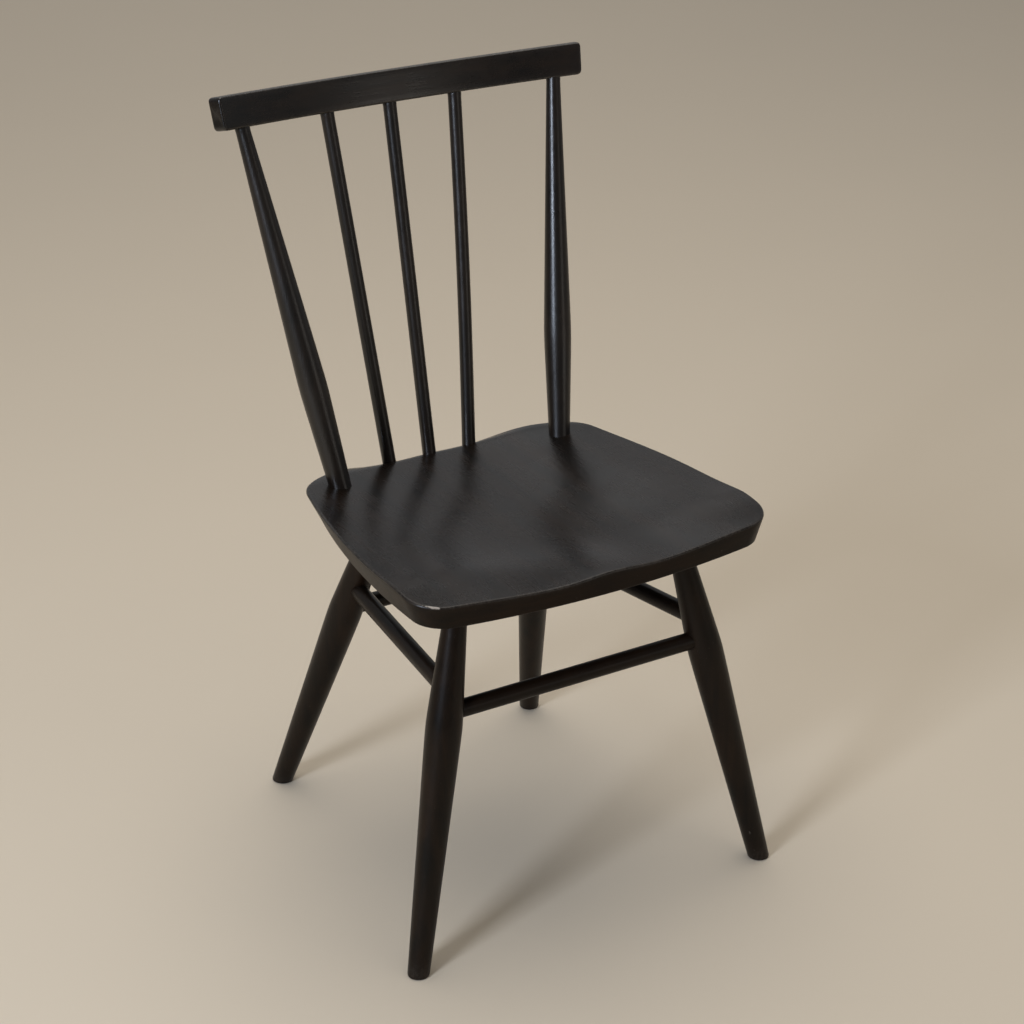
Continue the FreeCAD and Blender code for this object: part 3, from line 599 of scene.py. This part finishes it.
def upright(name, node, place, rake, side, isPost, bow=(0, 0, 0)):
    # runs from inside the seat to inside the crest rail
    start = np.array([side * place[0], place[1], turned["postLevel"]])
    direction = np.array([side * rake[0], rake[1], 1.0])
    direction /= np.linalg.norm(direction)
    toRail = (railOrigin - start) @ railUp / (direction @ railUp)
    lengths = np.linspace(-turned["belowLevel"], toRail + turned["intoRail"], 150)
    if isPost:
        swellAt, swell = turned["postSwellAt"], turned["postSwell"] + turned["swellLift"]
        radii = softMin(taper(lengths, turned["postFootAt"], turned["postFoot"], swellAt, swell),
                        taper(lengths, toRail, turned["postTop"], swellAt, swell),
                        turned["postSwellSoft"])
        radii = np.where(lengths < turned["postStraight"], turned["postFoot"], radii)
    else:
        foot, top = turned["stickFoot"], turned["stickTop"]
        radii = foot + (top - foot) * lengths / toRail
    fromCollar = (lengths - toRail + turned["collarBelow"]) / turned["collarWide"]
    radii = radii + turned["collar"] * np.exp(-fromCollar ** 2)
    piece = turnedPiece(name, start, direction, lengths, radii, postFinish, bow=bow)
    fits(piece, node)


for side, word in ((-1, "left"), (1, "right")):
    place, rake = uprightPlaces["post"]
    upright(f"back_post_{word}_turned", f"back_post_{word}", place, rake, side, True)
for side, word in ((-1, "left"), (0, "centre"), (1, "right")):
    place, rake = uprightPlaces["side" if side else "middle"]
    bowed = (2.2, 0, 0) if word == "right" else (0, 0, 0)   # the right stick isn't quite straight
    upright(f"spindle_{word}_turned", f"spindle_{word}", place, rake, side, False, bow=bowed)
print("back made")

stretcherPlaces = {   # mm: height on the leg axes at each end
    "side_stretcher_left": (("front", -1, 314.8), ("rear", -1, 301.9)),
    "side_stretcher_right": (("front", 1, 314.8), ("rear", 1, 301.9)),
    "front_stretcher": (("front", -1, 290.1), ("front", 1, 290.1)),
    "rear_stretcher": (("rear", -1, 270.0), ("rear", 1, 270.0)),
}
for node, ends in stretcherPlaces.items():
    points = []
    for end, side, height in ends:
        foot, top = (np.array(p, float) * [side, 1, 1] for p in legPlaces[end])
        points.append(foot + (top - foot) * height / top[2])
    gap = points[1] - points[0]
    shortBy = turned["shortOfAxis"]
    lengths = np.linspace(shortBy, np.linalg.norm(gap) - shortBy, 90)
    radii = np.full(len(lengths), turned["stretcher"])
    finish = sideFinish if node.startswith("side") else crossFinish
    piece = turnedPiece(node + "_turned", points[0], gap, lengths, radii, finish)
    fits(piece, node)
print("stretchers made")


studio = {   # m
    "floor": "d3c5b0", "floorHalf": 14, "floorGrid": 15, "floorZ": -0.0006,
    "room": "f4f5f7",
    "roomFront": 0.13, "roomBack": 0.40,   # strength of the room's light before and behind the chair
    "toBack": (0.46, 0.78, 0.42), "roomRun": (-0.4, 0.8),
    "lights": {   # place, aim, width, height, watts, colour
        "overhead": ((0.2, 0.3, 3.3), (0, 0, 0), 3.2, 3.2, 56, "fffaf2"),
        "window": ((-3.1, -1.3, 1.85), (0, 0, 0.8), 0.75, 1.1, 85, "e0ecff"),
        "backWash": ((1.6, 4.6, 3.6), (2.2, 5.2, 0), 4.0, 2.5, 26, "ffffff"),
        "panel": ((1.9, -3.7, 0.95), (0, 0.1, 0.85), 1.3, 1.6, 7, "fff8ee"),
    },
    "lens": 85.59, "sensor": 36,           # mm
    "cameraPlace": (-1.26464, -2.16728, 1.60552),
    "cameraAxes": ((0.85950, -0.51114, -0.00025),      # right, up and back
                   (0.21943, 0.36853, 0.90335),
                   (-0.46165, -0.77648, 0.42891)),
}


def palePaint(name, code):
    # matt painted floor: pale, with a faint mottle so it isn't one flat colour
    material = bpy.data.materials.new(name)
    material.use_nodes = True
    tree = material.node_tree
    shader = tree.nodes["Principled BSDF"]
    place = addNode(tree, "ShaderNodeTexCoord").outputs["Object"]
    mottle = addNode(tree, "ShaderNodeTexNoise", inputs={
        "Vector": place, "Scale": 3.0, "Detail": 3.0}).outputs["Fac"]
    base = np.array(hexLinear(code)[:3])
    node = addNode(tree, "ShaderNodeValToRGB", inputs={"Fac": mottle})
    node.color_ramp.elements[0].color = (*(base * 0.98).tolist(), 1)
    node.color_ramp.elements[1].color = (*base.tolist(), 1)
    tree.links.new(node.outputs["Color"], shader.inputs["Base Color"])
    shader.inputs["Roughness"].default_value = 0.8
    return material


def softLight(name, place, aim, width, height, watts, code):
    # a rectangular light at its place, turned to face its aim
    lamp = bpy.data.lights.new(name, "AREA")
    lamp.shape = "RECTANGLE"
    lamp.size, lamp.size_y = width, height
    lamp.energy = watts
    lamp.color = hexLinear(code)[:3]
    holder = bpy.data.objects.new(name, lamp)
    bpy.context.scene.collection.objects.link(holder)
    holder.location = place
    holder.rotation_euler = (Vector(aim) - Vector(place)).to_track_quat("-Z", "Y").to_euler()


def studioFloor():
    # a wide level sheet: grid of two parameters, a hair below the feet
    half, count = studio["floorHalf"], studio["floorGrid"]
    side = np.linspace(-half, half, count)
    gx, gy = np.meshgrid(side, side, indexing="ij")
    points = np.stack([gx.ravel(), gy.ravel(), np.full(gx.size, studio["floorZ"])], -1)
    mesh = bpy.data.meshes.new("studio_floor")
    mesh.from_pydata(points.tolist(), [], [tuple(f[::-1]) for f in gridFaces(count, count, False)])
    mesh.update()
    mesh.materials.append(palePaint("pale_floor_paint", studio["floor"]))
    floor = bpy.data.objects.new("studio_floor", mesh)
    bpy.context.scene.collection.objects.link(floor)


studioFloor()
world = bpy.data.worlds.new("studio")
world.use_nodes = True
tree = world.node_tree
facing = addNode(tree, "ShaderNodeVectorMath", {"operation": "DOT_PRODUCT"}, {
    0: addNode(tree, "ShaderNodeTexCoord").outputs["Generated"],
    1: studio["toBack"]}).outputs["Value"]
strength = addNode(tree, "ShaderNodeMapRange", {"interpolation_type": "SMOOTHSTEP"}, {
    "Value": facing, "From Min": studio["roomRun"][0], "From Max": studio["roomRun"][1],
    "To Min": studio["roomFront"], "To Max": studio["roomBack"]})
back = tree.nodes["Background"]
back.inputs["Color"].default_value = hexLinear(studio["room"])
tree.links.new(strength.outputs["Result"], back.inputs["Strength"])
bpy.context.scene.world = world
for name, settings in studio["lights"].items():
    softLight(name, *settings)

cameraData = bpy.data.cameras.new("camera")
cameraData.sensor_width = studio["sensor"]
cameraData.lens = studio["lens"]
camera = bpy.data.objects.new("camera", cameraData)
bpy.context.scene.collection.objects.link(camera)
camera.location = studio["cameraPlace"]
camera.rotation_euler = Matrix(studio["cameraAxes"]).transposed().to_euler()
bpy.context.scene.camera = camera
bpy.context.scene.view_settings.view_transform = "Standard"
print("studio made")
